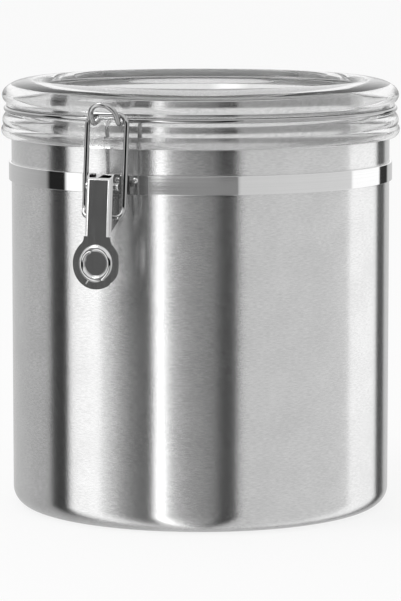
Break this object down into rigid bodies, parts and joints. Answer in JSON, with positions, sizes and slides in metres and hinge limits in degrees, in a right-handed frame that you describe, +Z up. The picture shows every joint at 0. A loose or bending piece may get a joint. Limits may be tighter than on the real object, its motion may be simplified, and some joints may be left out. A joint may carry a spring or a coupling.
{
  "type": "latched food canister",
  "caption": "Round steel food canister with a clear ribbed lid, held shut by a wire bail and a lever latch and hinged by wire legs at the back.",
  "frame": {"origin": "centre of the flat base, on the surface it stands on", "axes": "+Z up out of the can's mouth, -Y towards the latch, +Y towards the lid's hinge, +X to the right seen from the latch"},
  "size_m": [0.1888, 0.21, 0.2027],
  "materials": {
    "can_steel": "fine horizontal brush",
    "band_steel": "polished",
    "rivet_steel": "polished",
    "lever_steel": "polished",
    "wire_steel": "polished",
    "clear_lid": "clear gloss",
    "gasket_silicone": "soft satin"
  },
  "bodies": {
    "canister": {"can_body": "can_steel", "clamp_band": "band_steel", "latch_bracket": "band_steel", "hinge_bracket": "band_steel", "latch_bracket_rivets": "rivet_steel", "hinge_bracket_rivets": "rivet_steel", "lever_pivot_pin": "rivet_steel"},
    "lever": {"latch_lever": "lever_steel"},
    "bail": {"latch_bail": "wire_steel"},
    "lid": {"lid": "clear_lid", "lid_gasket": "gasket_silicone", "lid_ring_wire": "wire_steel"}
  },
  "joints": [
    {"name": "lever_swing", "type": "hinge", "parent": "canister", "child": "lever", "pos_m": [0, -0.1015, 0.1596], "axis": [-1, 0, 0], "range_deg": [0, 85]},
    {"name": "bail_swing", "type": "hinge", "parent": "lever", "child": "bail", "pos_m": [0, -0.10267, 0.14601], "axis": [-1, 0, 0], "range_deg": [-65.5, 0]},
    {"name": "lid_hinge", "type": "hinge", "parent": "canister", "child": "lid", "pos_m": [0, 0.0965, 0.1596], "axis": [-1, 0, 0], "range_deg": [0, 190]}
  ],
  "couplings": [
    {"joint": "bail_swing", "follows": "lever_swing", "ratio": -0.77}
  ]
}
